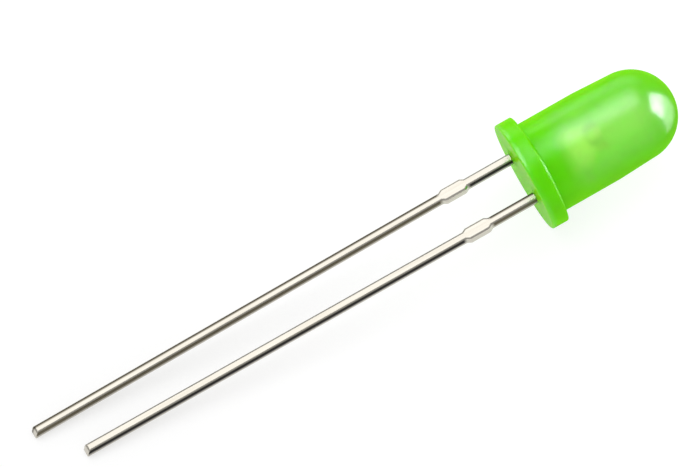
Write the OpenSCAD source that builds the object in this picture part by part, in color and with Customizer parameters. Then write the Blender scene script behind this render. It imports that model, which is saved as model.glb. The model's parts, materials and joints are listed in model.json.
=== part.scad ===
// Round 5 mm through-hole light-emitting diode, lying as it comes to rest on a table:
// the flange rim and both lead tips touch the plane z = 0.
// X runs along the diode towards the dome, Y across the leads towards the anode.
// The origin is at the middle of the bounding box, on the table.

/* [Lens] */
// Diameter of the straight barrel that a panel hole or bezel fits
lens_d = 5.0; // [4.6:0.1:6]
// Height of the dome's tip above the seat, which is the underside of the flange
lens_h = 8.7; // [8.2:0.1:11]
// How much the mould's draft draws the barrel's radius in before the dome starts
draft_inset = 0.1; // [0.06:0.01:0.15]
// Draft angle of the barrel's upper part, in degrees
draft_angle = 2.8; // [2:0.1:5]

/* [Flange] */
// How far the flange stands out past the barrel, all round
flange_ledge = 0.5; // [0.3:0.05:1]
// Thickness of the flange
flange_t = 0.95; // [0.7:0.05:1.5]
// Radius of the flange's two moulded edges
flange_edge_r = 0.1; // [0.04:0.01:0.14]
// Radius of the fillet between flange and barrel
root_fillet_r = 0.12; // [0.04:0.01:0.15]

/* [Leads] */
// Distance between the leads' centre lines where they leave the flange
lead_pitch = 2.54; // [2.4:0.02:2.8]
// Width of each lead
lead_w = 0.5; // [0.4:0.02:0.6]
// Thickness of the sheet that the leadframe is stamped from
sheet_t = 0.5; // [0.4:0.02:0.6]
// Length of the longer lead below the seat, the anode
anode_len = 28; // [20:0.5:32]
// Length of the shorter lead below the seat, the cathode
cathode_len = 26.2; // [18.5:0.1:27.5]
// How far each tip is drawn in towards the other lead
toe_in = 0.12; // [0:0.02:0.3]
// How far the lower face of a sheared tip stands out past the upper face
shear_slope = 0.18; // [0.04:0.02:0.4]

/* [Dam bar stubs] */
// Width of a lead across the stubs of its cut dam bar
stub_w = 0.74; // [0.62:0.02:1.2]
// Distance from the seat to the stubs
stub_drop = 2.65; // [1.5:0.05:5]
// Length of the stubs along the lead, with their tapered ends
stub_len = 1.5; // [0.8:0.1:2.5]
// Length of each tapered end of a stub
stub_taper = 0.2; // [0.1:0.05:0.35]

/* [Leadframe in the lens] */
// Height of the reflector cup's rim above the seat
frame_h = 4.45; // [4:0.05:5]
// Outer diameter of the cup's rim
cup_d = 1.2; // [1.1:0.05:1.4]
// Outer diameter of the cup at its foot
cup_foot_d = 0.95; // [0.85:0.05:1]
// Diameter of the cup's mouth
mouth_d = 0.96; // [0.9:0.02:1]
// Diameter of the cup's floor
floor_d = 0.6; // [0.5:0.02:0.7]
// Depth of the cup's hollow
cup_depth = 0.35; // [0.25:0.05:0.45]
// Wall of metal under the cup's floor, down to the cup's foot
cup_base_t = 0.4; // [0.3:0.05:0.6]
// How far the cathode's anvil reaches past the lens's axis
anvil_reach = 0.62; // [0.5:0.02:0.66]
// Height at which the leads begin to widen above the seat
neck_h = 1.7; // [1.2:0.1:1.9]
// Rise of the anvil's slanted lower edge
anvil_slant = 0.7; // [0.3:0.1:0.9]
// Height of the anvil's straight outer sides above its slanted edge
anvil_side_h = 0.7; // [0.4:0.1:0.9]
// How much wider than its lead the anode's post is at its head
post_extra_w = 0.12; // [0.04:0.02:0.16]
// Height of the post's head, from its slanted shoulder to its top
post_head_h = 1; // [0.6:0.1:1.6]

/* [Die and bond wire] */
// Side of the square die
die_w = 0.3; // [0.2:0.01:0.34]
// Height of the die
die_h = 0.2; // [0.1:0.01:0.22]
// Diameter of the adhesive under the die
adhesive_d = 0.46; // [0.44:0.01:0.49]
// Thickness of the adhesive
adhesive_t = 0.03; // [0.02:0.01:0.05]
// Diameter of the bond wire
wire_d = 0.03; // [0.02:0.005:0.05]
// Diameter of the ball bond on the die and of the stitch on the post
bond_d = 0.09; // [0.07:0.01:0.12]
// Height of the ball bond and of the stitch
bond_h = 0.04; // [0.03:0.01:0.06]

/* [Hidden] */
$fn = 96;

// Lens: the taper meets the dome at its widest circle, and its section ends a hair inside the dome
lens_r = lens_d / 2;
flange_r = lens_r + flange_ledge;
dome_r = lens_r - draft_inset;
dome_z = lens_h - dome_r;
straight_top = dome_z - draft_inset / tan(draft_angle);
taper_rise = dome_r * cos(draft_angle) * sin(draft_angle);

// Leadframe
tip_pitch = lead_pitch - 2 * toe_in;
stub_end = stub_drop + stub_len;
cup_floor_z = frame_h - cup_depth;
cup_foot_z = cup_floor_z - cup_base_t;
anvil_low_z = neck_h + anvil_slant;
anvil_shoulder_z = anvil_low_z + anvil_side_h;
anvil_top_z = cup_foot_z + cup_base_t / 2;
post_shoulder_z = frame_h - post_head_h;

// Die and wire: one arc springs straight up from the ball and comes down in the stitch
die_z = cup_floor_z + adhesive_t;
ball_z = die_z + die_h;
stitch_y = lead_pitch / 2 - post_extra_w / 2;
arc_start_z = ball_z + bond_h / 2;
arc_rise = frame_h + bond_h / 2 - arc_start_z;
arc_r = (stitch_y * stitch_y + arc_rise * arc_rise) / (2 * stitch_y);
arc_end_angle = atan2(arc_rise, stitch_y - arc_r);

// Rest pose: the longer lead lifts its own side, so the diode rolls a little as it tilts.
// Whichever lead is longer, contact_y is the corner of the anode's tip that touches the table.
roll_slope = (anode_len - cathode_len) / tip_pitch;
tip_inner_y = tip_pitch / 2 - lead_w / 2;
tip_outer_y = tip_pitch / 2 + lead_w / 2;
contact_y = anode_len > cathode_len ? tip_inner_y : tip_outer_y;
tilt = atan((flange_r - sheet_t / 2) / (anode_len + flange_edge_r - roll_slope * contact_y));
roll = asin(roll_slope * tan(tilt));
seat_height = (flange_r - flange_edge_r) * cos(tilt) + flange_edge_r * (1 - sin(tilt));
dome_end_x = dome_z * cos(tilt) + dome_r;
tip_end_x = -max(anode_len, cathode_len) * cos(tilt)
    + sin(tilt) * (sheet_t / 2 * cos(roll) - tip_outer_y * abs(sin(roll)));
seat_x = -(dome_end_x + tip_end_x) / 2;

// Everything is drawn upright on its seat, with the sheet in the plane x = 0, and then laid down
module at_rest() {
    translate([seat_x, 0, seat_height])
        rotate([0, -tilt, 0])
            rotate([roll, 0, 0])
                rotate([0, 90, 0])
                    children();
}

// Half of the lens's section, in radius and height
module flange_section() {
    square([flange_r - flange_edge_r, flange_t]);
    translate([0, flange_edge_r])
        square([flange_r, flange_t - 2 * flange_edge_r]);
    for (z = [flange_edge_r, flange_t - flange_edge_r])
        translate([flange_r - flange_edge_r, z])
            circle(flange_edge_r);
}

module root_fillet_section() {
    translate([lens_r, flange_t])
        difference() {
            translate([-root_fillet_r, -root_fillet_r])
                square(2 * root_fillet_r);
            translate([root_fillet_r, root_fillet_r])
                circle(root_fillet_r);
        }
}

module barrel_section() {
    polygon([
        [0, 0],
        [lens_r, 0],
        [lens_r, straight_top],
        [dome_r - taper_rise * tan(draft_angle), dome_z + taper_rise],
        [0, dome_z + taper_rise]
    ]);
}

module dome_section() {
    intersection() {
        translate([0, dome_z])
            circle(dome_r);
        translate([0, dome_z - dome_r / 2])
            square(2 * dome_r);
    }
}

module moulding() {
    rotate_extrude() {
        flange_section();
        root_fillet_section();
        barrel_section();
        dome_section();
    }
}

// Outlines are drawn with +x towards the lens's axis, and y up from the seat
module stem_outline(length) {
    polygon([
        [-lead_w / 2 + toe_in, -length],
        [-lead_w / 2, -stub_end],
        [-stub_w / 2, -stub_end + stub_taper],
        [-stub_w / 2, -stub_drop - stub_taper],
        [-lead_w / 2, -stub_drop],
        [-lead_w / 2, neck_h],
        [lead_w / 2, neck_h],
        [lead_w / 2, -stub_drop],
        [stub_w / 2, -stub_drop - stub_taper],
        [stub_w / 2, -stub_end + stub_taper],
        [lead_w / 2, -stub_end],
        [lead_w / 2 + toe_in, -length]
    ]);
}

module anvil_outline() {
    axis_x = lead_pitch / 2;
    polygon([
        [-lead_w / 2, 0],
        [-lead_w / 2, anvil_shoulder_z],
        [axis_x - cup_foot_d / 2, anvil_top_z],
        [axis_x + cup_foot_d / 2, anvil_top_z],
        [axis_x + anvil_reach, anvil_shoulder_z],
        [axis_x + anvil_reach, anvil_low_z],
        [lead_w / 2, neck_h],
        [lead_w / 2, 0]
    ]);
}

module post_outline() {
    polygon([
        [-lead_w / 2, 0],
        [-lead_w / 2, frame_h],
        [lead_w / 2 + post_extra_w, frame_h],
        [lead_w / 2 + post_extra_w, post_shoulder_z + post_extra_w],
        [lead_w / 2, post_shoulder_z],
        [lead_w / 2, 0]
    ]);
}

// A lead stamped from the sheet: side is -1 for the cathode and 1 for the anode
module stamped(side, length) {
    difference() {
        rotate([90, 0, 90])
            linear_extrude(sheet_t, center = true)
                translate([side * lead_pitch / 2, 0])
                    mirror([side > 0 ? 1 : 0, 0]) {
                        stem_outline(length);
                        children();
                    }
        sheared_off(side, length);
    }
}

// The wedge that the shears take off a tip, so that its lower face stands out
module sheared_off(side, length) {
    reach = 2 * lead_w + toe_in;
    translate([0, side * lead_pitch / 2 + reach, 0])
        rotate([90, 0, 0])
            linear_extrude(2 * reach)
                polygon([
                    [sheet_t / 2, -length],
                    [-sheet_t, -length + shear_slope * 3 / 2],
                    [-sheet_t, -length - shear_slope],
                    [sheet_t / 2, -length - shear_slope]
                ]);
}

module reflector_cup() {
    translate([0, 0, cup_foot_z])
        cylinder(d1 = cup_foot_d, d2 = cup_d, h = frame_h - cup_foot_z);
}

module cup_hollow() {
    translate([0, 0, cup_floor_z])
        cylinder(d1 = floor_d, d2 = mouth_d, h = cup_depth);
}

module cathode_shape() {
    difference() {
        union() {
            stamped(-1, cathode_len)
                anvil_outline();
            reflector_cup();
        }
        cup_hollow();
    }
}

module anode_shape() {
    stamped(1, anode_len)
        post_outline();
}

module die_shape() {
    translate([-die_w / 2, -die_w / 2, die_z])
        cube([die_w, die_w, die_h]);
}

module adhesive_shape() {
    translate([0, 0, cup_floor_z])
        cylinder(d = adhesive_d, h = adhesive_t);
}

module wire_shape() {
    translate([0, 0, ball_z])
        cylinder(d = bond_d, h = bond_h);
    translate([0, stitch_y, frame_h])
        cylinder(d = bond_d, h = bond_h);
    translate([0, arc_r, arc_start_z])
        rotate([90, 0, 90])
            rotate([0, 0, arc_end_angle])
                rotate_extrude(angle = 180 - arc_end_angle)
                    translate([arc_r, 0])
                        circle(d = wire_d);
}

module epoxy_lens() {
    color([0.38, 0.83, 0.08, 0.75])
        at_rest()
            difference() {
                moulding();
                cathode_shape();
                anode_shape();
                die_shape();
                adhesive_shape();
                wire_shape();
            }
}

module cathode_lead() {
    color([0.82, 0.81, 0.78])
        at_rest()
            cathode_shape();
}

module anode_lead() {
    color([0.82, 0.81, 0.78])
        at_rest()
            anode_shape();
}

module led_die() {
    color([0.45, 0.4, 0.15])
        at_rest()
            die_shape();
}

module die_adhesive() {
    color([0.7, 0.7, 0.72])
        at_rest()
            adhesive_shape();
}

module bond_wire() {
    color([0.9, 0.7, 0.25])
        at_rest()
            wire_shape();
}

epoxy_lens();
cathode_lead();
anode_lead();
led_die();
die_adhesive();
bond_wire();
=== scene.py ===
import json
from math import cos, pi, radians, sin

import bmesh
import bpy
from bpy.props import FloatProperty, FloatVectorProperty, IntProperty, PointerProperty
from bpy.types import Node, NodeSocket, Operator, Panel, PropertyGroup
from mathutils import Matrix, Vector


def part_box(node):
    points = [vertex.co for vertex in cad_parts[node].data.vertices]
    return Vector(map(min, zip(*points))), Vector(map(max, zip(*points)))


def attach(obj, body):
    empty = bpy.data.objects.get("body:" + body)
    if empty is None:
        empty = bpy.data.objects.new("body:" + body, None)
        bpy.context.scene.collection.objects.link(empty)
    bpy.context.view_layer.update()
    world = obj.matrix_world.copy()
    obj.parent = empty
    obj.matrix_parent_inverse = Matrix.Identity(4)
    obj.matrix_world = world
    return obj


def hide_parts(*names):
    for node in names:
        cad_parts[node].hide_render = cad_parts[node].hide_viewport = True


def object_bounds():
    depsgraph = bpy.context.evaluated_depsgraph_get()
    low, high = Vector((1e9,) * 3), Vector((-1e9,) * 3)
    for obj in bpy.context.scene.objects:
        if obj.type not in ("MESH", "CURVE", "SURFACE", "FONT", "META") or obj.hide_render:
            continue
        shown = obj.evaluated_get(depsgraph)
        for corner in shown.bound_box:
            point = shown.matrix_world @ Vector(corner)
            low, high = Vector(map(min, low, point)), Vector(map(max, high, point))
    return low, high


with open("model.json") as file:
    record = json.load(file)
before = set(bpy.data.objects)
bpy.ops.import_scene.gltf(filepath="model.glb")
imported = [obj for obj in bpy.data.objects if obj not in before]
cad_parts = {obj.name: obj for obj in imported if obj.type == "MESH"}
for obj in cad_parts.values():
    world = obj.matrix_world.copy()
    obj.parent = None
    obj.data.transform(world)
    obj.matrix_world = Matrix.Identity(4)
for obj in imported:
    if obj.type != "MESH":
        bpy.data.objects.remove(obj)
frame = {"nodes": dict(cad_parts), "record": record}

bl_info = {
    "name": "Through-hole LED",
    "version": (1, 0, 0),
    "blender": (4, 5, 0),
    "location": "3D View > Sidebar > LED",
    "description": "Moulds the epoxy lens, finishes the tinned leads and lights the diode on a table",
    "category": "Object",
}

MM = 0.001
# Points closer together than this, in metres, are one point
SAME_PLACE = 1e-6
CAD_BOX = [list(corner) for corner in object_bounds()]


# ---- What the frame says about how the diode lies ----

MOUNTS = {mount["name"]: mount for mount in frame["record"]["mounts"]}
SEAT = Vector(MOUNTS["seat"]["pos_m"])
AXIS = -Vector(MOUNTS["seat"]["axis"]).normalized()
BARREL_R = MOUNTS["barrel"]["dims"]["r_mm"] * MM
BARREL_MIDDLE = (Vector(MOUNTS["barrel"]["pos_m"]) - SEAT).dot(AXIS)
BARREL_TOP = BARREL_MIDDLE + MOUNTS["barrel"]["dims"]["length_mm"] * MM / 2
LENS_LOW, LENS_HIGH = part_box("epoxy_lens")
FLANGE_R = (LENS_HIGH.y - LENS_LOW.y) / 2


def rest_matrix():
    """Lays an upright piece down: dome along the axis, anode at +Y, the sheet's normal along X."""
    nearly_up = 0.9
    sides = frame["nodes"]["anode_lead"].data.polygons
    facing_up = (side for side in sides if side.normal.z > nearly_up)
    upper_face = max(facing_up, key=lambda side: side.area)
    across_sheet = upper_face.normal - upper_face.normal.dot(AXIS) * AXIS
    x = -across_sheet.normalized()
    y = AXIS.cross(x)
    return Matrix.Translation(SEAT) @ Matrix((x, y, AXIS)).transposed().to_4x4()


REST = rest_matrix()


# ---- Helpers ----

def linear(code):
    """The linear red, green, blue and alpha of an sRGB colour written in hex."""
    parts = [int(code[i:i + 2], 16) / 255 for i in (0, 2, 4)]
    return [c / 12.92 if c <= 0.04045 else ((c + 0.055) / 1.055) ** 2.4 for c in parts] + [1.0]


def add_node(tree, kind, inputs=None, **settings):
    """Adds a node with its settings and its named or numbered inputs.

    A node that is given as an input stands for its first output.
    """
    node = tree.nodes.new(kind)
    for name, value in settings.items():
        setattr(node, name, value)
    for key, value in (inputs or {}).items():
        if isinstance(key, str):
            socket = next(s for s in node.inputs if s.enabled and s.name == key)
        else:
            socket = node.inputs[key]
        if isinstance(value, Node):
            value = next(s for s in value.outputs if s.enabled)
        if isinstance(value, NodeSocket):
            tree.links.new(value, socket)
        else:
            socket.default_value = value
    return node


def new_material(name):
    """An empty node material, and its tree."""
    material = bpy.data.materials.new(name)
    material.use_nodes = True
    material.node_tree.nodes.clear()
    return material, material.node_tree


def upright_mm(tree):
    """Object coordinates turned back upright, in millimetres from the middle of the seat."""
    place = add_node(tree, "ShaderNodeTexCoord").outputs["Object"]
    return add_node(
        tree, "ShaderNodeMapping",
        {
            "Vector": place, "Location": REST.translation,
            "Rotation": REST.to_euler(), "Scale": (MM, MM, MM),
        },
        vector_type="TEXTURE")


def link_object(name, data):
    """An object for some data, in the scene."""
    made = bpy.data.objects.new(name, data)
    bpy.context.scene.collection.objects.link(made)
    return made


def finished(piece):
    """Turns a piece with its modifiers into a plain mesh, laid down at rest."""
    bpy.context.view_layer.update()
    evaluated = piece.evaluated_get(bpy.context.evaluated_depsgraph_get())
    mesh = bpy.data.meshes.new_from_object(evaluated)
    piece.modifiers.clear()
    piece.data = mesh
    mesh.transform(REST)
    mesh.name = piece.name


# ---- Sizes and colours that a user may change ----

class LensSettings(PropertyGroup):
    barrel_radius: FloatProperty(
        name="Barrel radius", description="Radius of the straight barrel",
        default=BARREL_R, unit="LENGTH")
    barrel_top: FloatProperty(
        name="Barrel top", description="Height above the seat at which the barrel begins to draw in",
        default=BARREL_TOP, unit="LENGTH")
    draft_inset: FloatProperty(
        name="Draft inset", description="How much the barrel has drawn in where the dome begins",
        default=0.1 * MM, unit="LENGTH", precision=5)
    flange_radius: FloatProperty(
        name="Flange radius", description="Radius of the flange",
        default=FLANGE_R, unit="LENGTH")
    flange_thickness: FloatProperty(
        name="Flange thickness", description="Thickness of the flange",
        default=0.95 * MM, unit="LENGTH", precision=5)
    edge_radius: FloatProperty(
        name="Flange edge radius", description="Radius of the flange's two moulded edges",
        default=0.1 * MM, unit="LENGTH", precision=5)
    root_fillet: FloatProperty(
        name="Root fillet", description="Radius of the fillet between flange and barrel",
        default=0.12 * MM, unit="LENGTH", precision=5)
    base_dish: FloatProperty(
        name="Base dish", description="How far the poured face of the epoxy sinks as it cures",
        default=0.07 * MM, unit="LENGTH", precision=5)
    meniscus_height: FloatProperty(
        name="Meniscus height", description="How far the epoxy climbs each lead",
        default=0.1 * MM, unit="LENGTH", precision=5)
    meniscus_spread: FloatProperty(
        name="Meniscus spread", description="How far from a lead the epoxy begins to climb",
        default=0.4 * MM, unit="LENGTH", precision=5)
    ring_spacing: FloatProperty(
        name="Ring spacing", description="Distance between rings of the mesh on its straight stretches",
        default=0.08 * MM, unit="LENGTH", precision=5)
    segments: IntProperty(
        name="Segments", description="Number of segments round the lens", default=144, min=24)
    epoxy: FloatVectorProperty(
        name="Epoxy", description="Colour of the dyed epoxy where its powder scatters the light",
        default=linear("76ee06"), size=4, subtype="COLOR")
    dye: FloatVectorProperty(
        name="Dye", description="Colour of light that has passed through clear dyed epoxy",
        default=linear("d4ff78"), size=4, subtype="COLOR")
    dye_density: FloatProperty(
        name="Dye density", description="How strongly the dye takes out the other colours, per metre",
        default=440, min=0)
    clearness: FloatProperty(
        name="Clearness", description="Share of light that passes between the grains of the powder",
        default=0.7, min=0, max=1, subtype="FACTOR")


class LeadSettings(PropertyGroup):
    pitch: FloatProperty(
        name="Pitch", description="Distance between the leads' centre lines at the seat",
        default=2.54 * MM, unit="LENGTH", precision=5)
    thickness: FloatProperty(
        name="Thickness", description="Side of a lead's square section",
        default=0.5 * MM, unit="LENGTH", precision=5)
    length: FloatProperty(
        name="Length", description="Mean length of the leads below the seat",
        default=27.0 * MM, unit="LENGTH", precision=5)
    toe_in: FloatProperty(
        name="Toe-in", description="How far each lead draws in towards the other by its tip",
        default=0.12 * MM, unit="LENGTH", precision=5)
    edge_round: FloatProperty(
        name="Rolled edge", description="Radius of the edges that the punch rolls over",
        default=0.15 * MM, unit="LENGTH", precision=5)
    stub_drop: FloatProperty(
        name="Stub drop", description="Distance from the seat down to the stubs",
        default=2.65 * MM, unit="LENGTH", precision=5)
    stub_length: FloatProperty(
        name="Stub length", description="Length of the stubs that the tie bar leaves",
        default=1.5 * MM, unit="LENGTH", precision=5)
    tin: FloatVectorProperty(
        name="Tin", description="Colour of the bright tin plating",
        default=linear("dedad0"), size=4, subtype="COLOR")
    tarnish: FloatVectorProperty(
        name="Tarnish", description="Colour of the tin where it has dulled",
        default=linear("c9c3b6"), size=4, subtype="COLOR")
    # Painted reflection: grey for dark surroundings that the punched sides mirror
    painted_reflection_grey: FloatVectorProperty(
        name="Painted side reflection", description="Colour of the painted reflection on the punched sides",
        default=linear("665f4c"), size=4, subtype="COLOR")
    # Painted reflection: near black, on the stretches of the punched sides that mirror the darkest
    # surroundings
    painted_reflection_black: FloatVectorProperty(
        name="Painted black reflection", description="Colour of the blackest painted reflection on the punched sides",
        default=linear("24221e"), size=4, subtype="COLOR")
    # Painted reflection: grey along one edge of each lead's top
    painted_edge_reflection: FloatVectorProperty(
        name="Painted edge reflection", description="Colour of the painted reflection along one edge of the top",
        default=linear("6a6456"), size=4, subtype="COLOR")
    held: FloatVectorProperty(
        name="Held in epoxy", description="Colour of the silvered frame inside the epoxy",
        default=linear("f2ecd4"), size=4, subtype="COLOR")


class InnerSettings(PropertyGroup):
    crystal: FloatVectorProperty(
        name="Crystal", description="Colour of the die's crystal",
        default=linear("8a7426"), size=4, subtype="COLOR")
    adhesive: FloatVectorProperty(
        name="Adhesive", description="Colour of the silver-filled adhesive",
        default=linear("bcbcb8"), size=4, subtype="COLOR")
    gold: FloatVectorProperty(
        name="Gold", description="Colour of the bond wire",
        default=linear("eebe5a"), size=4, subtype="COLOR")


class StageSettings(PropertyGroup):
    table: FloatVectorProperty(
        name="Table", description="Colour of the table",
        default=linear("f4f4f4"), size=4, subtype="COLOR")
    table_radius: FloatProperty(
        name="Table radius", description="Radius of the table, whose rim turns up",
        default=1.2, unit="LENGTH")
    brightness: FloatProperty(
        name="Background",
        description="How much of the table shows as plain white at the tips of the leads",
        default=0.5, min=0, max=1, subtype="FACTOR")
    sky: FloatProperty(
        name="Sky", description="Strength of the even light from all round", default=0.75)
    key: FloatProperty(
        name="Key light", description="Radiance of the soft box overhead", default=1.12)
    ceiling: FloatProperty(
        name="Ceiling panel", description="Radiance of the panel that the barrel mirrors", default=5.5)
    wall: FloatProperty(
        name="Wall light", description="Radiance of the wall that the barrel's far side mirrors",
        default=4.5)
    window: FloatProperty(
        name="Window light", description="Radiance of the window that the dome mirrors", default=34.0)


# ---- The epoxy lens ----

LENS_INPUTS = {
    "Barrel Radius": "barrel_radius",
    "Barrel Top": "barrel_top",
    "Dome Radius": None,
    "Dome Centre": None,
    "Flange Radius": "flange_radius",
    "Flange Thickness": "flange_thickness",
    "Edge Radius": "edge_radius",
    "Root Fillet": "root_fillet",
    "Base Dish": "base_dish",
    "Meniscus Height": "meniscus_height",
    "Meniscus Spread": "meniscus_spread",
    "Lead Offset": None,
    "Lead Half": None,
    "Ring Spacing": "ring_spacing",
}


def lens_tree():
    """A solid of revolution, whose base is then dished and drawn up the leads.

    Its outline has rounded corners and ends in the dome.
    """
    tree = bpy.data.node_groups.new("lens_of_revolution", "GeometryNodeTree")
    for name in LENS_INPUTS:
        tree.interface.new_socket(name, in_out="INPUT", socket_type="NodeSocketFloat")
    tree.interface.new_socket("Segments", in_out="INPUT", socket_type="NodeSocketInt")
    tree.interface.new_socket("Material", in_out="INPUT", socket_type="NodeSocketMaterial")
    tree.interface.new_socket("Geometry", in_out="OUTPUT", socket_type="NodeSocketGeometry")
    size = add_node(tree, "NodeGroupInput").outputs

    # The outline's corners in radius and height, and the radius that rounds each
    corners = [
        (0.0, 0.0, 0.0),
        (size["Flange Radius"], 0.0, size["Edge Radius"]),
        (size["Flange Radius"], size["Flange Thickness"], size["Edge Radius"]),
        (size["Barrel Radius"], size["Flange Thickness"], size["Root Fillet"]),
        (size["Barrel Radius"], size["Barrel Top"], size["Barrel Radius"]),
    ]
    corner_steps = 8
    dome_steps = 28
    index = add_node(tree, "GeometryNodeInputIndex")
    step = add_node(tree, "ShaderNodeMath", {0: index, 1: len(corners)}, operation="SUBTRACT")
    angle = add_node(tree, "ShaderNodeMath", {0: step, 1: pi / 2 / dome_steps}, operation="MULTIPLY")
    dome_out = add_node(tree, "ShaderNodeMath", {0: angle}, operation="COSINE")
    dome_up = add_node(tree, "ShaderNodeMath", {0: angle}, operation="SINE")
    dome_r = add_node(tree, "ShaderNodeMath", {0: dome_out, 1: size["Dome Radius"]}, operation="MULTIPLY")
    dome_z = add_node(
        tree, "ShaderNodeMath", {0: dome_up, 1: size["Dome Radius"], 2: size["Dome Centre"]},
        operation="MULTIPLY_ADD")
    dome_point = add_node(tree, "ShaderNodeCombineXYZ", {"X": dome_r, "Z": dome_z})
    which = add_node(tree, "ShaderNodeMath", {0: index, 1: len(corners)}, operation="MINIMUM")
    place = add_node(tree, "GeometryNodeIndexSwitch", data_type="VECTOR")
    rounding = add_node(tree, "GeometryNodeIndexSwitch", data_type="FLOAT")
    for switch in (place, rounding):
        while len(switch.index_switch_items) < len(corners) + 1:
            switch.index_switch_items.new()
        tree.links.new(which.outputs[0], switch.inputs["Index"])
    for number, (radius, height, corner_radius) in enumerate(corners):
        point = add_node(tree, "ShaderNodeCombineXYZ", {"X": radius, "Z": height})
        tree.links.new(point.outputs[0], place.inputs[number + 1])
        if corner_radius:
            tree.links.new(corner_radius, rounding.inputs[number + 1])
    tree.links.new(dome_point.outputs[0], place.inputs[len(corners) + 1])

    points = add_node(tree, "GeometryNodeMeshLine", {"Count": len(corners) + dome_steps + 1})
    placed = add_node(tree, "GeometryNodeSetPosition", {"Geometry": points, "Position": place})
    outline = add_node(tree, "GeometryNodeMeshToCurve", {"Mesh": placed})
    rounded = add_node(
        tree, "GeometryNodeFilletCurve",
        {"Curve": outline, "Radius": rounding, "Limit Radius": True, "Count": corner_steps}, mode="POLY")

    # Long stretches are cut up so that shading and the base's form stay even
    here = add_node(tree, "GeometryNodeInputPosition")
    next_index = add_node(tree, "ShaderNodeMath", {0: index, 1: 1.0}, operation="ADD")
    there = add_node(
        tree, "GeometryNodeFieldAtIndex", {"Index": next_index, "Value": here}, data_type="FLOAT_VECTOR")
    length = add_node(tree, "ShaderNodeVectorMath", {0: here, 1: there}, operation="DISTANCE")
    cuts = add_node(
        tree, "ShaderNodeMath", {0: length.outputs["Value"], 1: size["Ring Spacing"]}, operation="DIVIDE")
    even = add_node(tree, "GeometryNodeSubdivideCurve", {"Curve": rounded, "Cuts": cuts})
    profile = add_node(tree, "GeometryNodeCurveToMesh", {"Curve": even})

    # A grid takes the outline's points one way and the turn round the axis the other way
    count = add_node(tree, "GeometryNodeAttributeDomainSize", {"Geometry": profile})
    columns = add_node(tree, "ShaderNodeMath", {0: size["Segments"], 1: 1.0}, operation="ADD")
    grid = add_node(
        tree, "GeometryNodeMeshGrid",
        {"Vertices X": count.outputs["Point Count"], "Vertices Y": columns})
    share = add_node(tree, "ShaderNodeMath", {0: index, 1: columns}, operation="DIVIDE")
    row = add_node(tree, "ShaderNodeMath", {0: share}, operation="FLOOR")
    column = add_node(tree, "ShaderNodeMath", {0: index, 1: columns}, operation="MODULO")
    turn = add_node(tree, "ShaderNodeMath", {0: column, 1: size["Segments"]}, operation="DIVIDE")
    turn_angle = add_node(tree, "ShaderNodeMath", {0: turn, 1: -2 * pi}, operation="MULTIPLY")
    on_profile = add_node(
        tree, "GeometryNodeSampleIndex", {"Geometry": profile, "Value": here, "Index": row},
        data_type="FLOAT_VECTOR")
    turned = add_node(
        tree, "ShaderNodeVectorRotate", {"Vector": on_profile, "Angle": turn_angle},
        rotation_type="Z_AXIS")
    solid = add_node(
        tree, "GeometryNodeSetPosition", {"Geometry": grid.outputs["Mesh"], "Position": turned})

    # The poured base sinks in its middle, as a parabola, and climbs the two leads ever more steeply
    parabola = 2.0
    steepening = 3.0
    base_r = add_node(tree, "ShaderNodeVectorMath", {0: here}, operation="LENGTH")
    base_share = add_node(
        tree, "ShaderNodeMath", {0: base_r.outputs["Value"], 1: size["Flange Radius"]},
        operation="DIVIDE")
    bowl = add_node(tree, "ShaderNodeMath", {0: base_share, 1: parabola}, operation="POWER")
    depth = add_node(tree, "ShaderNodeMath", {0: 1.0, 1: bowl}, operation="SUBTRACT")
    dish = add_node(tree, "ShaderNodeMath", {0: depth, 1: size["Base Dish"]}, operation="MULTIPLY")
    offset = add_node(tree, "ShaderNodeCombineXYZ", {"Y": size["Lead Offset"]})
    half = add_node(
        tree, "ShaderNodeCombineXYZ", {"X": size["Lead Half"], "Y": size["Lead Half"], "Z": 1.0})
    folded = add_node(tree, "ShaderNodeVectorMath", {0: here}, operation="ABSOLUTE")
    from_middle = add_node(tree, "ShaderNodeVectorMath", {0: folded, 1: offset}, operation="SUBTRACT")
    from_lead = add_node(tree, "ShaderNodeVectorMath", {0: from_middle}, operation="ABSOLUTE")
    beyond = add_node(tree, "ShaderNodeVectorMath", {0: from_lead, 1: half}, operation="SUBTRACT")
    outside = add_node(tree, "ShaderNodeVectorMath", {0: beyond, 1: (0, 0, 0)}, operation="MAXIMUM")
    reach = add_node(tree, "ShaderNodeVectorMath", {0: outside}, operation="LENGTH")
    near = add_node(
        tree, "ShaderNodeMapRange",
        {
            "Value": reach.outputs["Value"], "From Max": size["Meniscus Spread"],
            "To Min": 1.0, "To Max": 0.0,
        })
    climb = add_node(tree, "ShaderNodeMath", {0: near, 1: steepening}, operation="POWER")
    meniscus = add_node(
        tree, "ShaderNodeMath", {0: climb, 1: size["Meniscus Height"]}, operation="MULTIPLY")
    lift = add_node(tree, "ShaderNodeMath", {0: dish, 1: meniscus}, operation="SUBTRACT")
    shift = add_node(tree, "ShaderNodeCombineXYZ", {"Z": lift})
    height = add_node(tree, "ShaderNodeSeparateXYZ", {0: here})
    on_base = add_node(
        tree, "FunctionNodeCompare", {"A": height.outputs["Z"], "B": SAME_PLACE}, operation="LESS_THAN")
    poured = add_node(
        tree, "GeometryNodeSetPosition", {"Geometry": solid, "Selection": on_base, "Offset": shift})

    closed = add_node(tree, "GeometryNodeMergeByDistance", {"Geometry": poured, "Distance": SAME_PLACE})
    smooth = add_node(tree, "GeometryNodeSetShadeSmooth", {"Geometry": closed})
    real = add_node(tree, "GeometryNodeRealizeInstances", {"Geometry": smooth})
    coloured = add_node(tree, "GeometryNodeSetMaterial", {"Geometry": real, "Material": size["Material"]})
    add_node(tree, "NodeGroupOutput", {"Geometry": coloured})
    return tree


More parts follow.
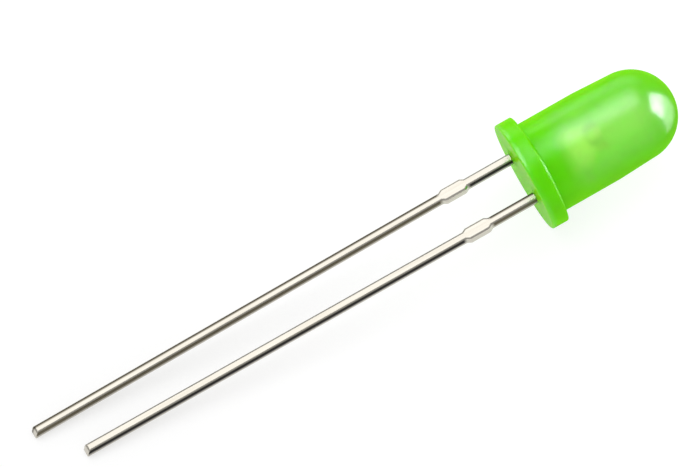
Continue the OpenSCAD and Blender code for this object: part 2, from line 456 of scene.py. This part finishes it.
def diffused_epoxy(settings):
    """Diffused epoxy, cast in a polished mould.

    It has a milky body that glows with its dye, and between its grains a blurred view of what is inside.
    """
    material, tree = new_material("diffused_green_epoxy")
    place = upright_mm(tree)
    along = add_node(tree, "ShaderNodeSeparateXYZ", {0: place}).outputs["Z"]

    # The powder's grains are a few micrometres across, drawn coarser here, and it settles in faint clouds
    grain_mm = 0.06
    cloud_mm = 1.5
    thinnest = 0.9
    grain = add_node(tree, "ShaderNodeTexNoise", {"Vector": place, "Scale": 1 / grain_mm, "Detail": 3.0})
    clouds = add_node(tree, "ShaderNodeTexNoise", {"Vector": place, "Scale": 1 / cloud_mm, "Detail": 2.0})
    settled = add_node(
        tree, "ShaderNodeMapRange",
        {"Value": clouds, "From Min": 0.3, "From Max": 0.7, "To Min": thinnest, "To Max": 1.0})
    body = add_node(
        tree, "ShaderNodeMix", {"Factor": 1.0, "A": settings.epoxy, "B": settled},
        data_type="RGBA", blend_type="MULTIPLY")
    skin = add_node(tree, "ShaderNodeBump", {"Height": grain, "Strength": 0.1, "Distance": 0.01 * MM})

    # The gloss is matched, and the base is guessed to be the smoother. Real epoxy has an IOR of about
    # 1.5. The coat's is higher, at a low weight, so that it mirrors more evenly at every slant
    base_mm = 0.1
    moulded_mm = 0.3
    base_gloss = 0.25
    moulded_gloss = 0.05
    coat = add_node(
        tree, "ShaderNodeMapRange",
        {
            "Value": along, "From Min": base_mm, "From Max": moulded_mm,
            "To Min": base_gloss, "To Max": moulded_gloss,
        })
    gloss = {"Normal": skin, "IOR": 1.5, "Coat Weight": coat, "Coat Roughness": 0.14, "Coat IOR": 2.4}
    # Green light gets furthest through the powder, and all of it spreads by less than a millimetre
    milky = add_node(
        tree, "ShaderNodeBsdfPrincipled",
        {
            **gloss, "Base Color": body, "Roughness": 0.42, "Specular IOR Level": 0.0,
            "Subsurface Weight": 1.0, "Subsurface Radius": (0.4, 1.0, 0.15), "Subsurface Scale": 0.8 * MM,
        })
    clear = add_node(
        tree, "ShaderNodeBsdfPrincipled",
        {**gloss, "Base Color": linear("ffffff"), "Roughness": 0.22, "Transmission Weight": 1.0})

    # Less shows through near the flange, which paints shade there, and where the skin is seen at a slant.
    # Less shows through near the flange, which may shut the light out, and where the skin is seen at a
    # slant. Both are matched
    shaded_mm = 1.6
    lit_mm = 2.9
    shaded_clearness = 0.05
    narrowing = 3.5
    above_flange = add_node(
        tree, "ShaderNodeMapRange",
        {
            "Value": along, "From Min": shaded_mm, "From Max": lit_mm,
            "To Min": shaded_clearness, "To Max": settings.clearness,
        },
        interpolation_type="SMOOTHSTEP")
    slant = add_node(tree, "ShaderNodeLayerWeight", {"Blend": 0.5}).outputs["Facing"]
    straight = add_node(tree, "ShaderNodeMath", {0: 1.0, 1: slant}, operation="SUBTRACT")
    steep = add_node(tree, "ShaderNodeMath", {0: straight, 1: narrowing}, operation="POWER")
    share = add_node(tree, "ShaderNodeMath", {0: above_flange, 1: steep}, operation="MULTIPLY")
    epoxy = add_node(tree, "ShaderNodeMixShader", {"Fac": share, 1: milky, 2: clear})
    dye = add_node(
        tree, "ShaderNodeVolumeAbsorption", {"Color": settings.dye, "Density": settings.dye_density})
    add_node(tree, "ShaderNodeOutputMaterial", {"Surface": epoxy, "Volume": dye})
    return material


class DIODE_OT_mould_lens(Operator):
    """Moulds the epoxy lens with its flange, dome and poured base"""
    bl_idname = "diode.mould_lens"
    bl_label = "Mould the epoxy lens"

    def execute(self, context):
        lens = context.scene.diode_lens
        lead = context.scene.diode_leads
        dome_radius = lens.barrel_radius - lens.draft_inset
        worked_out = {
            "Dome Radius": dome_radius,
            "Dome Centre": (LENS_HIGH.x - dome_radius - SEAT.x) / AXIS.x,
            "Lead Offset": lead.pitch / 2,
            "Lead Half": lead.thickness / 2,
        }
        piece = link_object("lens_moulding", bpy.data.meshes.new("lens_moulding"))
        modifier = piece.modifiers.new("Lens of revolution", "NODES")
        modifier.node_group = lens_tree()
        identifier = {item.name: item.identifier for item in modifier.node_group.interface.items_tree}
        for name, setting in LENS_INPUTS.items():
            modifier[identifier[name]] = getattr(lens, setting) if setting else worked_out[name]
        modifier[identifier["Segments"]] = lens.segments
        modifier[identifier["Material"]] = diffused_epoxy(lens)
        finished(piece)
        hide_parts("epoxy_lens")
        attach(piece, "root")
        return {"FINISHED"}


# ---- The leads ----

def bright_tin(settings):
    """Tin plated over punched steel strip.

    It is bright on the rolled faces, carries painted dark reflections on its sides and along one edge of
    its top, and is dulled where the epoxy holds it.
    """
    material, tree = new_material("bright_tin_plate")
    place = upright_mm(tree)
    at = add_node(tree, "ShaderNodeSeparateXYZ", {0: place}).outputs
    normal = add_node(tree, "ShaderNodeTexCoord").outputs["Normal"]
    sideways = add_node(
        tree, "ShaderNodeVectorMath", {0: normal, 1: REST.col[1].to_3d()}, operation="DOT_PRODUCT")
    turned = add_node(tree, "ShaderNodeMath", {0: sideways.outputs["Value"]}, operation="ABSOLUTE")
    # The punched sides are those that face sideways, and their rounded edges lie between
    punched = add_node(
        tree, "ShaderNodeMapRange", {"Value": turned, "From Min": 0.45, "From Max": 0.9},
        interpolation_type="SMOOTHSTEP")

    # The sides of the stubs stay bright, without the painted dark reflection. The sides of
    # the stubs stay bright, on the guess that the tie bar is cropped off last
    stub_middle = -(settings.stub_drop + settings.stub_length / 2) / MM
    stub_plain_mm = 0.7
    stub_edge_mm = 0.9
    from_stub = add_node(tree, "ShaderNodeMath", {0: at["Z"], 1: stub_middle}, operation="SUBTRACT")
    stub_distance = add_node(tree, "ShaderNodeMath", {0: from_stub}, operation="ABSOLUTE")
    off_stubs = add_node(
        tree, "ShaderNodeMapRange",
        {"Value": stub_distance, "From Min": stub_plain_mm, "From Max": stub_edge_mm})

    # The painted dark reflection covers the upper half of each punched side, and only faintly the lower
    # half. That the punch leaves them so is a guess, and the lines are matched by eye
    full_reflection_mm = -0.03
    faint_reflection_mm = 0.12
    faint_reflection_share = 0.15
    upper_half = add_node(
        tree, "ShaderNodeMapRange",
        {
            "Value": at["X"], "From Min": full_reflection_mm, "From Max": faint_reflection_mm,
            "To Min": 1.0, "To Max": faint_reflection_share,
        },
        interpolation_type="SMOOTHSTEP")
    painted_on_sides = add_node(tree, "ShaderNodeMath", {0: punched, 1: upper_half}, operation="MULTIPLY")
    dark = add_node(tree, "ShaderNodeMath", {0: painted_on_sides, 1: off_stubs}, operation="MULTIPLY")

    # The blackest painted reflection lies on the anode between the lens and the stubs, and on the cathode
    # past them. It is called burnished here, but its cause isn't known
    lead_side = add_node(tree, "ShaderNodeMath", {0: at["Y"], 1: from_stub}, operation="MULTIPLY")
    black_share = add_node(
        tree, "ShaderNodeMapRange", {"Value": lead_side, "From Min": -1.0, "From Max": 1.0})
    cut = add_node(
        tree, "ShaderNodeMix",
        {"Factor": black_share, "A": settings.painted_reflection_grey, "B": settings.painted_reflection_black}, data_type="RGBA")

    # Elsewhere a painted dark reflection runs along one edge of the top. That the punch
    # dragged it down is a guess
    edge_from_mm = 0.02
    edge_to_mm = 0.12
    stub_end = -(settings.stub_drop + settings.stub_length) / MM
    toe = add_node(
        tree, "ShaderNodeMapRange",
        {
            "Value": at["Z"], "From Min": stub_end, "From Max": -settings.length / MM,
            "To Min": settings.pitch / 2 / MM, "To Max": (settings.pitch / 2 - settings.toe_in) / MM,
        })
    side = add_node(tree, "ShaderNodeMath", {0: at["Y"]}, operation="SIGN")
    lead_centre = add_node(tree, "ShaderNodeMath", {0: side, 1: toe}, operation="MULTIPLY")
    off_centre = add_node(tree, "ShaderNodeMath", {0: at["Y"], 1: lead_centre}, operation="SUBTRACT")
    edge_band = add_node(
        tree, "ShaderNodeMapRange",
        {"Value": off_centre, "From Min": edge_from_mm, "From Max": edge_to_mm},
        interpolation_type="SMOOTHSTEP")
    outside_black = add_node(
        tree, "ShaderNodeMath", {0: off_stubs, 1: black_share}, operation="SUBTRACT", use_clamp=True)
    on_top = add_node(
        tree, "ShaderNodeMath", {0: outside_black, 1: punched}, operation="SUBTRACT", use_clamp=True)
    edge_reflection_share = add_node(tree, "ShaderNodeMath", {0: edge_band, 1: on_top}, operation="MULTIPLY")

    # Fine rolling lines run the length of the strip, and the tin's tarnish follows them in wider smears
    line_mm = 0.05
    run_mm = 1.25
    smear_scale = 0.35
    stretched = add_node(
        tree, "ShaderNodeMapping", {"Vector": place, "Scale": (1 / line_mm, 1 / line_mm, 1 / run_mm)})
    lines = add_node(tree, "ShaderNodeTexNoise", {"Vector": stretched, "Scale": 1.0, "Detail": 3.0})
    smears = add_node(
        tree, "ShaderNodeTexNoise", {"Vector": stretched, "Scale": smear_scale, "Detail": 2.0})
    tarnish = add_node(
        tree, "ShaderNodeMix", {"Factor": smears, "A": settings.tarnish, "B": settings.tin},
        data_type="RGBA")
    # Here the painted dark reflections are laid over the tin
    top = add_node(
        tree, "ShaderNodeMix", {"Factor": edge_reflection_share, "A": tarnish, "B": settings.painted_edge_reflection},
        data_type="RGBA")
    outer = add_node(tree, "ShaderNodeMix", {"Factor": dark, "A": top, "B": cut}, data_type="RGBA")

    # The frame keeps its silver where the epoxy holds it, with a rougher skin for the epoxy to grip
    held_mm = 0.2
    held_roughness = 0.12
    held = add_node(tree, "ShaderNodeMapRange", {"Value": at["Z"], "From Min": 0.0, "From Max": held_mm})
    colour = add_node(
        tree, "ShaderNodeMix", {"Factor": held, "A": outer, "B": settings.held}, data_type="RGBA")
    outer_gloss = add_node(tree, "ShaderNodeMapRange", {"Value": dark, "To Min": 0.22, "To Max": 0.45})
    roughness = add_node(
        tree, "ShaderNodeMath", {0: held, 1: held_roughness, 2: outer_gloss}, operation="MULTIPLY_ADD")
    bump = add_node(
        tree, "ShaderNodeBump", {"Height": lines, "Strength": 0.15, "Distance": 0.01 * MM})
    shader = add_node(
        tree, "ShaderNodeBsdfPrincipled",
        {"Base Color": colour, "Metallic": 1.0, "Roughness": roughness, "Normal": bump})
    add_node(tree, "ShaderNodeOutputMaterial", {"Surface": shader})
    return material


def rolled_lead(node, name, settings, material):
    """A lead cut from its CAD solid, with the edges outside the lens rolled over."""
    mesh = frame["nodes"][node].data.copy()
    mesh.transform(REST.inverted())
    work = bmesh.new()
    work.from_mesh(mesh)
    bmesh.ops.remove_doubles(work, verts=work.verts, dist=SAME_PLACE)
    bmesh.ops.dissolve_limit(work, angle_limit=radians(1), verts=work.verts, edges=work.edges)
    # The rolling stops just inside the lens
    stop = 0.3 * MM
    bmesh.ops.bisect_plane(
        work, geom=work.verts[:] + work.edges[:] + work.faces[:], dist=SAME_PLACE,
        plane_co=(0, 0, stop), plane_no=(0, 0, 1))
    weight = work.edges.layers.float.new("bevel_weight_edge")
    # The CAD's edges are square, and these radii are matched
    upper = -settings.thickness / 4
    lower_weight = 0.4
    for edge in work.edges:
        sharp = edge.calc_face_angle(0) > radians(20)
        outside = max(v.co.z for v in edge.verts) < stop + SAME_PLACE
        if sharp and outside:
            is_upper = max(v.co.x for v in edge.verts) < upper
            edge[weight] = 1.0 if is_upper else lower_weight
        elif sharp:
            edge.smooth = False
    for face in work.faces:
        face.smooth = True
    work.to_mesh(mesh)
    work.free()
    mesh.materials.clear()
    mesh.materials.append(material)
    piece = link_object(name, mesh)
    bevel = piece.modifiers.new("Rolled edges", "BEVEL")
    bevel.limit_method = "WEIGHT"
    bevel.width = settings.edge_round
    bevel.segments = 5
    bevel.harden_normals = True
    bevel.use_clamp_overlap = False
    finished(piece)
    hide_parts(node)
    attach(piece, "root")


class DIODE_OT_finish_leads(Operator):
    """Rolls the edges of the two leads and plates them with tin"""
    bl_idname = "diode.finish_leads"
    bl_label = "Finish the leads"

    def execute(self, context):
        settings = context.scene.diode_leads
        tin = bright_tin(settings)
        rolled_lead("anode_lead", "anode_strip", settings, tin)
        rolled_lead("cathode_lead", "cathode_strip", settings, tin)
        return {"FINISHED"}


# ---- The die, its adhesive and the bond wire ----

def speckled(name, colour, dark, roughness, metallic, grain_mm):
    """A material whose colour darkens, and whose roughness varies, with a fine grain."""
    material, tree = new_material(name)
    spread = 0.2
    grain = add_node(
        tree, "ShaderNodeTexNoise", {"Vector": upright_mm(tree), "Scale": 1 / grain_mm, "Detail": 2.0})
    darker = [c * dark for c in colour[:3]] + [1.0]
    mixed = add_node(
        tree, "ShaderNodeMix", {"Factor": grain, "A": darker, "B": list(colour)}, data_type="RGBA")
    gloss = add_node(
        tree, "ShaderNodeMapRange",
        {"Value": grain, "To Min": roughness * (1 - spread), "To Max": roughness * (1 + spread)})
    shader = add_node(
        tree, "ShaderNodeBsdfPrincipled",
        {"Base Color": mixed, "Metallic": metallic, "Roughness": gloss})
    add_node(tree, "ShaderNodeOutputMaterial", {"Surface": shader})
    return material


class DIODE_OT_finish_inner_parts(Operator):
    """Gives the die, its adhesive and the bond wire their materials"""
    bl_idname = "diode.finish_inner_parts"
    bl_label = "Finish the die and wire"

    def execute(self, context):
        settings = context.scene.diode_inner
        finishes = {
            # Gallium phosphide crystal, sawn from its wafer: amber, with a fine satin grain
            "led_die": speckled(
                "sawn_gallium_phosphide", settings.crystal,
                dark=0.7, roughness=0.35, metallic=0.0, grain_mm=0.02),
            # Epoxy filled with silver flakes a few micrometres across, drawn coarser: grey, half metallic
            "die_adhesive": speckled(
                "silver_filled_epoxy", settings.adhesive,
                dark=0.6, roughness=0.5, metallic=0.4, grain_mm=0.015),
            # Gold wire, drawn through a die that leaves fine marks: bright and warm, a little uneven
            "bond_wire": speckled(
                "drawn_gold", settings.gold,
                dark=0.85, roughness=0.2, metallic=1.0, grain_mm=0.01),
        }
        for node, material in finishes.items():
            part = frame["nodes"][node]
            part.data.materials.clear()
            part.data.materials.append(material)
        return {"FINISHED"}


# ---- The table, the lamps and the camera ----

def white_table(settings):
    """Matt white card, which keeps the diode's shadow and fades to plain white further out."""
    material, tree = new_material("matt_white_card")
    place = add_node(tree, "ShaderNodeTexCoord").outputs["Object"]
    lead_tips = (CAD_BOX[0][0], 0, 0)
    away = add_node(tree, "ShaderNodeVectorMath", {0: place, 1: lead_tips}, operation="DISTANCE")
    plain_from = 0.07
    ray = add_node(tree, "ShaderNodeLightPath").outputs
    near_shares = {"Camera": settings.brightness, "Transmission": 1.0, "Glossy": 0.3}
    white = None
    for kind, near in near_shares.items():
        share = add_node(
            tree, "ShaderNodeMapRange",
            {"Value": away.outputs["Value"], "From Max": plain_from, "To Min": near, "To Max": 1.0},
            interpolation_type="SMOOTHSTEP")
        seen = add_node(
            tree, "ShaderNodeMath", {0: ray[f"Is {kind} Ray"], 1: share}, operation="MULTIPLY")
        if white:
            seen = add_node(tree, "ShaderNodeMath", {0: white, 1: seen}, operation="MAXIMUM")
        white = seen
    # White takes the card's place share by share, up to a strength of 1. It comes in a little ahead of
    # its share, because the card that it stands for is lit to a little less than white
    ahead = 1.2
    card = add_node(tree, "ShaderNodeBsdfDiffuse", {"Color": settings.table})
    dimmed = add_node(tree, "ShaderNodeMixShader", {"Fac": white, 1: card})
    strength = add_node(
        tree, "ShaderNodeMath", {0: white, 1: ahead}, operation="MULTIPLY", use_clamp=True)
    background = add_node(tree, "ShaderNodeEmission", {"Strength": strength})
    surface = add_node(tree, "ShaderNodeAddShader", {0: dimmed, 1: background})
    add_node(tree, "ShaderNodeOutputMaterial", {"Surface": surface})
    return material


def table(settings):
    """A round table whose rim turns up, so that it fills the background of low views too."""
    radius = settings.table_radius
    rim = 0.12
    steps = 96
    rings = [(radius * share, 0.0) for share in (0.02, 0.05, 0.1, 0.2, 0.4, 0.8)]
    rings += [(radius + rim * sin(radians(a)), rim * (1 - cos(radians(a)))) for a in range(0, 91, 15)]
    spokes = [(cos(2 * pi * step / steps), sin(2 * pi * step / steps)) for step in range(steps)]
    mesh = bpy.data.meshes.new("table")
    work = bmesh.new()
    centre = work.verts.new((0, 0, 0))
    loops = []
    for ring_radius, height in rings:
        loops.append([work.verts.new((ring_radius * x, ring_radius * y, height)) for x, y in spokes])
    for step in range(steps):
        after = (step + 1) % steps
        work.faces.new((centre, loops[0][step], loops[0][after]))
        for inner, outer in zip(loops, loops[1:]):
            work.faces.new((inner[step], outer[step], outer[after], inner[after]))
    for face in work.faces:
        face.smooth = True
    work.to_mesh(mesh)
    work.free()
    mesh.materials.append(white_table(settings))
    made = link_object("table", mesh)


def area_lamp(name, direction, distance, width, height, radiance):
    """A soft box that faces the diode from a direction, hidden from the camera and inside the epoxy."""
    light = bpy.data.lights.new(name, "AREA")
    light.shape = "RECTANGLE"
    light.size = width
    light.size_y = height
    light.energy = radiance * pi * width * height
    lamp = link_object(name, light)
    towards = Vector(direction).normalized()
    lamp.location = towards * distance
    lamp.rotation_euler = towards.to_track_quat("Z", "Y").to_euler()
    lamp.visible_camera = False
    lamp.visible_transmission = False
    return lamp


def mirrored_lamp(name, direction, distance, width, height, radiance, core, diode):
    """A lamp that fades from its core to its edges, and that only shows as a highlight on the lens."""
    lamp = area_lamp(name, direction, distance, width, height, radiance)
    lamp.visible_diffuse = False
    lamp.light_linking.receiver_collection = diode
    lamp.light_linking.blocker_collection = diode
    lamp.data.use_nodes = True
    tree = lamp.data.node_tree
    tree.nodes.clear()
    across = add_node(tree, "ShaderNodeNewGeometry").outputs["Parametric"]
    half = (0.5, 0.5, 0.5)
    shifted = add_node(tree, "ShaderNodeVectorMath", {0: across, 1: half}, operation="SUBTRACT")
    off_centre = add_node(tree, "ShaderNodeVectorMath", {0: shifted}, operation="ABSOLUTE")
    fade = add_node(
        tree, "ShaderNodeMapRange",
        {"Vector": off_centre, "From Min": half, "From Max": (core, core, core)},
        data_type="FLOAT_VECTOR", interpolation_type="SMOOTHSTEP")
    sides = add_node(tree, "ShaderNodeSeparateXYZ", {0: fade.outputs["Vector"]}).outputs
    strength = add_node(tree, "ShaderNodeMath", {0: sides["X"], 1: sides["Y"]}, operation="MULTIPLY")
    glow = add_node(tree, "ShaderNodeEmission", {"Strength": strength})
    add_node(tree, "ShaderNodeOutputLight", {"Surface": glow})


def lamps(settings):
    """A soft box overhead, and a ceiling panel, a wall and a window that only the lens mirrors."""
    area_lamp("soft_box", (-0.03, 0.3, 0.95), distance=0.6, width=0.8, height=0.6, radiance=settings.key)
    diode = bpy.data.collections.new("mirrors_the_lamps")
    diode.objects.link(bpy.data.objects["lens_moulding"])
    mirrored_lamp(
        "ceiling_panel", (-0.05, 0.14, 0.98), distance=0.6, width=1.0, height=0.9,
        radiance=settings.ceiling, core=0.0, diode=diode)
    mirrored_lamp(
        "far_wall", (0.24, 0.91, 0.34), distance=0.6, width=1.0, height=0.6,
        radiance=settings.wall, core=0.0, diode=diode)
    # The window stands before the dome, a little to the cathode's side of it
    swing = radians(-13)
    mirrored_lamp(
        "window", (cos(swing), sin(swing), 0.0), distance=0.5, width=0.46, height=0.84,
        radiance=settings.window, core=0.4, diode=diode)


def sky(settings):
    """Even light from all round, a little dimmer where it is mirrored.

    Rays through the epoxy don't see the soft box, so for them the sky is brighter overhead in its place.
    """
    mirrored_share = 0.7
    overhead_glow = 2.2
    world = bpy.data.worlds.new("studio")
    world.use_nodes = True
    tree = world.node_tree
    tree.nodes.clear()
    ray = add_node(tree, "ShaderNodeLightPath").outputs
    mirrored = add_node(
        tree, "ShaderNodeMapRange",
        {"Value": ray["Is Glossy Ray"], "To Min": settings.sky, "To Max": settings.sky * mirrored_share})
    rise = add_node(tree, "ShaderNodeSeparateXYZ", {0: add_node(tree, "ShaderNodeTexCoord")}).outputs["Z"]
    overhead = add_node(
        tree, "ShaderNodeMapRange",
        {"Value": rise, "From Min": 0.3, "From Max": 0.8, "To Min": 1.0, "To Max": overhead_glow},
        interpolation_type="SMOOTHSTEP")
    shining = add_node(
        tree, "ShaderNodeMath", {0: ray["Is Transmission Ray"], 1: overhead}, operation="MULTIPLY")
    strength = add_node(tree, "ShaderNodeMath", {0: mirrored, 1: shining}, operation="MAXIMUM")
    shade = add_node(tree, "ShaderNodeBackground", {"Strength": strength})
    add_node(tree, "ShaderNodeOutputWorld", {"Surface": shade})
    bpy.context.scene.world = world


def camera():
    """A long lens that looks down on the diode from the cathode's side.

    It is turned so that the dome points up and to the right.
    """
    azimuth = radians(-17.98)
    elevation = radians(59.2)
    turn = radians(-11.25)
    distance = 0.4
    target = Vector((0.62, 2.1, 1.86)) * MM
    moved_left = 0.03 * MM
    moved_up = 0.17 * MM
    back = Vector((sin(azimuth) * cos(elevation), -cos(azimuth) * cos(elevation), sin(elevation)))
    level = Vector((cos(azimuth), sin(azimuth), 0))
    above = back.cross(level)
    right = level * cos(turn) + above * sin(turn)
    up = back.cross(right)
    lens = bpy.data.cameras.new("camera")
    lens.lens = 405.3
    lens.sensor_width = 36
    lens.clip_start = 0.01
    lens.clip_end = 5
    made = link_object("camera", lens)
    made.location = target + back * distance - right * moved_left + up * moved_up
    made.rotation_euler = Matrix((right, up, back)).transposed().to_euler()
    bpy.context.scene.camera = made


class DIODE_OT_set_stage(Operator):
    """Lays the table, hangs the lamps and sets up the camera"""
    bl_idname = "diode.set_stage"
    bl_label = "Set the stage"

    def execute(self, context):
        settings = context.scene.diode_stage
        table(settings)
        lamps(settings)
        sky(settings)
        camera()
        context.scene.view_settings.view_transform = "Standard"
        return {"FINISHED"}


class DIODE_PT_steps(Panel):
    """Lists the diode's making, step by step"""
    bl_idname = "DIODE_PT_steps"
    bl_label = "Through-hole LED"
    bl_space_type = "VIEW_3D"
    bl_region_type = "UI"
    bl_category = "LED"

    def draw(self, context):
        for step, settings in STEPS.items():
            box = self.layout.box()
            box.operator(step.bl_idname)
            group = getattr(context.scene, settings)
            for name in group.bl_rna.properties.keys():
                if name not in ("rna_type", "name"):
                    box.prop(group, name)


# Each step's operator, with the settings it reads
STEPS = {
    DIODE_OT_mould_lens: "diode_lens",
    DIODE_OT_finish_leads: "diode_leads",
    DIODE_OT_finish_inner_parts: "diode_inner",
    DIODE_OT_set_stage: "diode_stage",
}
SETTINGS = {
    "diode_lens": LensSettings,
    "diode_leads": LeadSettings,
    "diode_inner": InnerSettings,
    "diode_stage": StageSettings,
}


def register():
    for kind in (*SETTINGS.values(), *STEPS, DIODE_PT_steps):
        bpy.utils.register_class(kind)
    for name, group in SETTINGS.items():
        setattr(bpy.types.Scene, name, PointerProperty(type=group))


def unregister():
    for name in SETTINGS:
        delattr(bpy.types.Scene, name)
    for kind in (DIODE_PT_steps, *reversed(STEPS), *reversed(SETTINGS.values())):
        bpy.utils.unregister_class(kind)


def main():
    register()
    for step in STEPS:
        group, name = step.bl_idname.split(".")
        getattr(getattr(bpy.ops, group), name)()


if __name__ == "__main__":
    main()
